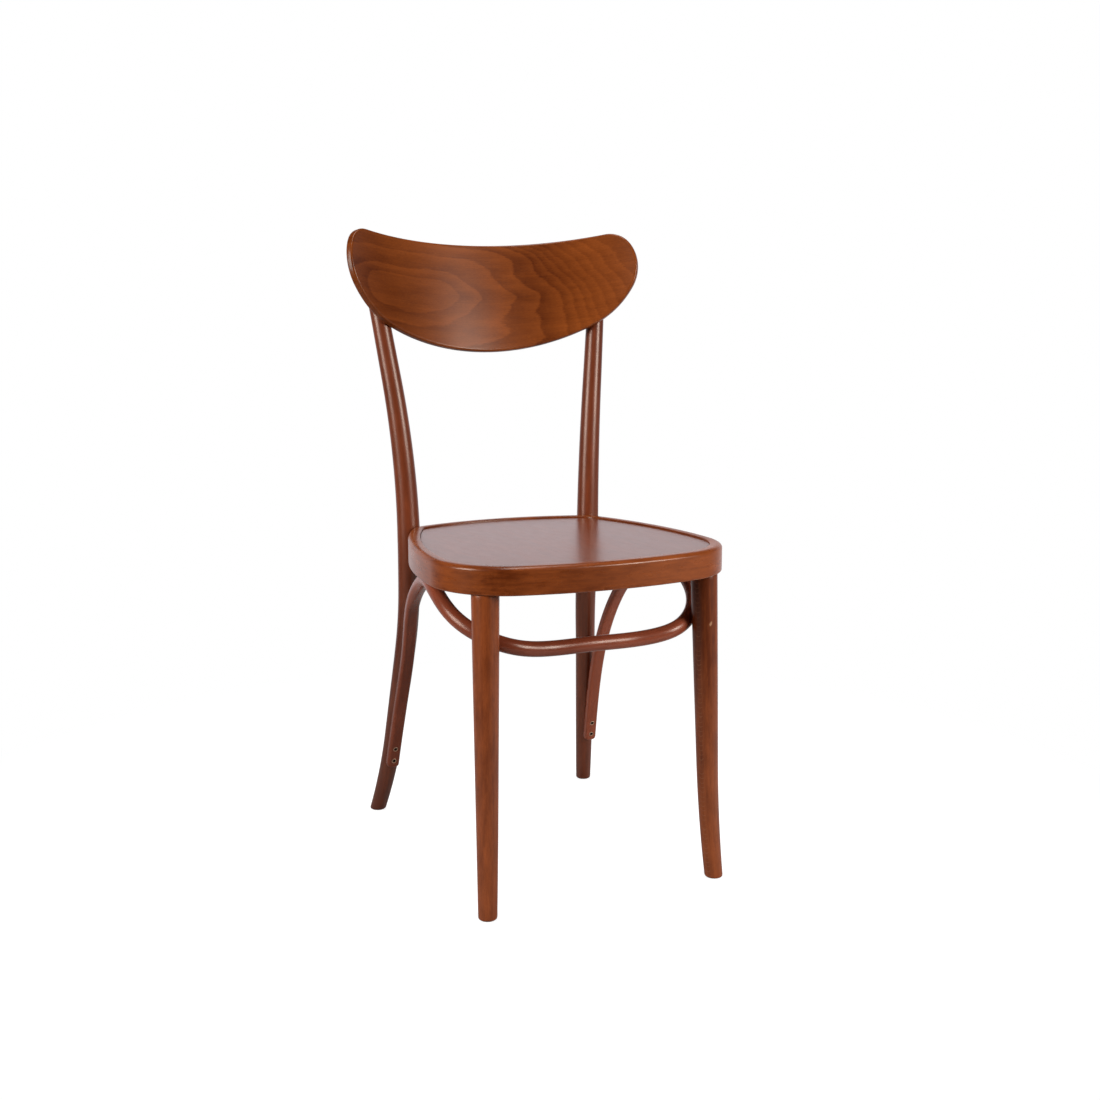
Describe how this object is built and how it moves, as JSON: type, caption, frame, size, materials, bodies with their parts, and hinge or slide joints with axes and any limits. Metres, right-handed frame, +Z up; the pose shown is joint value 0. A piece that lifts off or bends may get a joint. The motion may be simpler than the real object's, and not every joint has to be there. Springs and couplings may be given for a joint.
{
  "type": "cafe chair",
  "caption": "Bentwood cafe chair with a framed flat seat panel, splayed legs, a curved half-moon backrest on bent posts and a bent brace hoop under the seat.",
  "frame": {"origin": "on the floor under the middle of the overall width and depth", "axes": "+Z up from the floor, -Y the way a sitter faces, +X to the sitter's left"},
  "size_m": [0.4588, 0.4849, 0.8865],
  "materials": {
    "ring_wood": "stained and lacquered bent beech, satin",
    "panel_veneer": "stained and lacquered beech veneer, satin",
    "front_leg_wood": "stained and lacquered turned beech, satin",
    "rear_leg_wood": "stained and lacquered bent beech, satin",
    "backrest_veneer": "stained and lacquered moulded beech veneer, satin",
    "brace_wood": "stained and lacquered bent beech, satin",
    "screw_steel": "yellow passivated, satin",
    "bolt_steel": "zinc plated, satin"
  },
  "bodies": {
    "root": {"backrest": "backrest_veneer", "backrest_screw_lower_left": "screw_steel", "backrest_screw_lower_right": "screw_steel", "backrest_screw_upper_left": "screw_steel", "backrest_screw_upper_right": "screw_steel", "brace_arch_screw_left": "screw_steel", "brace_arch_screw_right": "screw_steel", "brace_front_screw_left": "screw_steel", "brace_front_screw_right": "screw_steel", "brace_hoop": "brace_wood", "front_leg_left": "front_leg_wood", "front_leg_right": "front_leg_wood", "rear_leg_left": "rear_leg_wood", "rear_leg_right": "rear_leg_wood", "seat_bolt_left": "bolt_steel", "seat_bolt_right": "bolt_steel", "seat_bolt_washer_left": "bolt_steel", "seat_bolt_washer_right": "bolt_steel", "seat_panel": "panel_veneer", "seat_ring": "ring_wood", "strap_screw_lower_left": "screw_steel", "strap_screw_lower_right": "screw_steel", "strap_screw_upper_left": "screw_steel", "strap_screw_upper_right": "screw_steel"}
  },
  "joints": []
}
